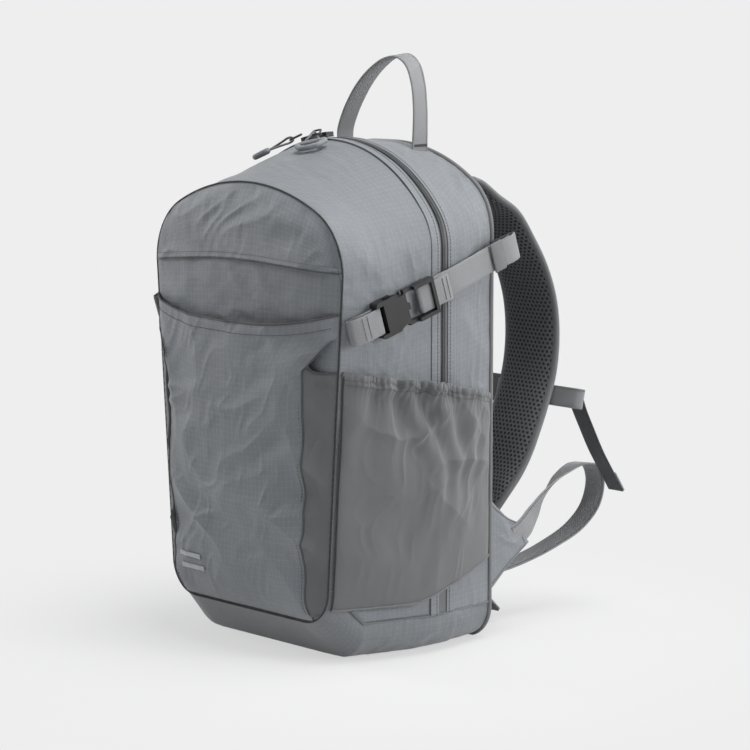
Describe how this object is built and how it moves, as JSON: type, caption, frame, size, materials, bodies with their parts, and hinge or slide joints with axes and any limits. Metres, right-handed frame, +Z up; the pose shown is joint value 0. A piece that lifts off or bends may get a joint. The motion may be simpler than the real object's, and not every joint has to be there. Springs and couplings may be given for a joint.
{
  "type": "hiking daypack",
  "caption": "Zipped hiking daypack with padded shoulder straps, chest strap, side compression straps, stretch side pockets, front stash pocket and haul loop.",
  "frame": {"origin": "middle of the flat base that the bag stands on", "axes": "+Z up, -Y the way the front panel faces, +Y towards the wearer's back, +X to the right seen from the front"},
  "size_m": [0.314, 0.3997, 0.5482],
  "materials": {
    "ripstop": "woven ripstop nylon, soft sheen",
    "stretch_fabric": "knitted stretch, matt",
    "lining": "plain woven lining",
    "foam": "closed-cell foam",
    "spacer_mesh": "open knitted mesh",
    "zipper_tape": "woven tape",
    "zipper_coil": "nylon coil",
    "slider_metal": "painted die casting",
    "pull_grip": "moulded grip",
    "cord": "braided cord",
    "binding": "folded woven tape",
    "strap_cover": "woven cover",
    "black_plastic": "moulded acetal",
    "webbing": "woven webbing"
  },
  "bodies": {
    "pack": {"back_foam": "foam", "back_lining": "lining", "back_mesh_cover": "spacer_mesh", "back_pads": "spacer_mesh", "base_panel": "ripstop", "corner_tabs": "ripstop", "front_gusset": "ripstop", "front_lining": "lining", "front_middle_panel": "ripstop", "front_top_panel": "ripstop", "haul_loop_feet": "webbing", "loop_webbing_left": "webbing", "loop_webbing_right": "webbing", "rear_gusset": "ripstop", "rear_seam_binding": "binding", "side_buckle_female_left": "black_plastic", "side_buckle_female_right": "black_plastic", "side_pocket_left": "stretch_fabric", "side_pocket_right": "stretch_fabric", "side_strap_stubs": "webbing", "side_strap_webbing": "webbing", "stash_pocket": "ripstop", "stash_stretch_sides": "stretch_fabric", "zipper_coil": "zipper_coil", "zipper_tape": "zipper_tape"},
    "shoulder_straps": {"ladder_lock_left": "black_plastic", "ladder_lock_right": "black_plastic", "strap_cover_left": "strap_cover", "strap_cover_right": "strap_cover", "strap_daisy_webbing_left": "webbing", "strap_daisy_webbing_right": "webbing", "strap_foam_left": "foam", "strap_foam_right": "foam", "strap_mesh_lining_left": "spacer_mesh", "strap_mesh_lining_right": "spacer_mesh", "sternum_buckle_female": "black_plastic", "sternum_webbing_left": "webbing", "sternum_webbing_right": "webbing"},
    "haul_loop": {"haul_loop": "webbing"},
    "sternum_male": {"sternum_buckle_male": "black_plastic"},
    "sternum_prong_upper": {"sternum_prong_upper": "black_plastic"},
    "sternum_prong_lower": {"sternum_prong_lower": "black_plastic"},
    "side_male_right": {"side_buckle_male_right": "black_plastic", "side_strap_fold_right": "webbing"},
    "side_prong_upper_right": {"side_buckle_prong_upper_right": "black_plastic"},
    "side_prong_lower_right": {"side_buckle_prong_lower_right": "black_plastic"},
    "side_male_left": {"side_buckle_male_left": "black_plastic", "side_strap_fold_left": "webbing"},
    "side_prong_upper_left": {"side_buckle_prong_upper_left": "black_plastic"},
    "side_prong_lower_left": {"side_buckle_prong_lower_left": "black_plastic"},
    "zip_slider_right": {"zip_slider_right": "slider_metal"},
    "zip_pull_right": {"zip_pull_right": "pull_grip", "zip_cord_right": "cord"},
    "zip_slider_left": {"zip_slider_left": "slider_metal"},
    "zip_pull_left": {"zip_pull_left": "pull_grip", "zip_cord_left": "cord"}
  },
  "joints": [
    {"name": "shoulder_strap_swing", "type": "hinge", "parent": "pack", "child": "shoulder_straps", "pos_m": [0, 0.103, 0.424], "axis": [1, 0, 0], "range_deg": [0, 15], "deforming": ["loop_webbing_right", "loop_webbing_left"]},
    {"name": "haul_loop_tip", "type": "hinge", "parent": "pack", "child": "haul_loop", "pos_m": [0, 0.074, 0.475], "axis": [1, 0, 0], "range_deg": [-60, 60]},
    {"name": "side_buckle_right_release", "type": "slide", "parent": "pack", "child": "side_male_right", "axis": [0.0568, 0.9496, 0.3084], "range_m": [0, 0.022]},
    {"name": "side_buckle_right_prong_upper", "type": "hinge", "parent": "side_male_right", "child": "side_prong_upper_right", "pos_m": [0.14322, -0.03502, 0.33627], "axis": [0.9984, -0.054, -0.0175], "range_deg": [0, 6], "stiffness_Nm_per_rad": 0.02},
    {"name": "side_buckle_right_prong_lower", "type": "hinge", "parent": "side_male_right", "child": "side_prong_lower_right", "pos_m": [0.14322, -0.02841, 0.31592], "axis": [0.9984, -0.054, -0.0175], "range_deg": [-6, 0], "stiffness_Nm_per_rad": 0.02},
    {"name": "side_buckle_left_release", "type": "slide", "parent": "pack", "child": "side_male_left", "axis": [-0.0568, 0.9496, 0.3084], "range_m": [0, 0.022]},
    {"name": "side_buckle_left_prong_upper", "type": "hinge", "parent": "side_male_left", "child": "side_prong_upper_left", "pos_m": [-0.14322, -0.03502, 0.33627], "axis": [-0.9984, -0.054, -0.0175], "range_deg": [-6, 0], "stiffness_Nm_per_rad": 0.02},
    {"name": "side_buckle_left_prong_lower", "type": "hinge", "parent": "side_male_left", "child": "side_prong_lower_left", "pos_m": [-0.14322, -0.02841, 0.31592], "axis": [-0.9984, -0.054, -0.0175], "range_deg": [0, 6], "stiffness_Nm_per_rad": 0.02},
    {"name": "sternum_buckle_release", "type": "slide", "parent": "shoulder_straps", "child": "sternum_male", "axis": [1, 0, 0], "range_m": [0, 0.018]},
    {"name": "sternum_buckle_prong_upper", "type": "hinge", "parent": "sternum_male", "child": "sternum_prong_upper", "pos_m": [-0.0027, 0.21135, 0.20865], "axis": [0, 0.9734, -0.2291], "range_deg": [0, 6], "stiffness_Nm_per_rad": 0.02},
    {"name": "sternum_buckle_prong_lower", "type": "hinge", "parent": "sternum_male", "child": "sternum_prong_lower", "pos_m": [-0.0027, 0.21527, 0.22532], "axis": [0, 0.9734, -0.2291], "range_deg": [-6, 0], "stiffness_Nm_per_rad": 0.02},
    {"name": "zipper_right", "type": "hinge", "parent": "pack", "child": "zip_slider_right", "pos_m": [0, 0.022, 0.31], "axis": [0, 1, 0], "range_deg": [0, 26]},
    {"name": "zip_pull_lift_right", "type": "hinge", "parent": "zip_slider_right", "child": "zip_pull_right", "pos_m": [-0.02227, 0.0116, 0.47724], "axis": [-0.793, -0.5652, -0.2275], "range_deg": [0, 80]},
    {"name": "zipper_left", "type": "hinge", "parent": "pack", "child": "zip_slider_left", "pos_m": [0, 0.022, 0.31], "axis": [0, 1, 0], "range_deg": [-14, 0]},
    {"name": "zip_pull_lift_left", "type": "hinge", "parent": "zip_slider_left", "child": "zip_pull_left", "pos_m": [-0.0441, 0.0116, 0.4726], "axis": [-0.7672, 0.6335, -0.1002], "range_deg": [0, 80]}
  ],
  "couplings": [
    {"joint": "side_buckle_right_prong_lower", "follows": "side_buckle_right_prong_upper", "ratio": -1},
    {"joint": "side_buckle_left_prong_lower", "follows": "side_buckle_left_prong_upper", "ratio": -1},
    {"joint": "sternum_buckle_prong_lower", "follows": "sternum_buckle_prong_upper", "ratio": -1}
  ]
}
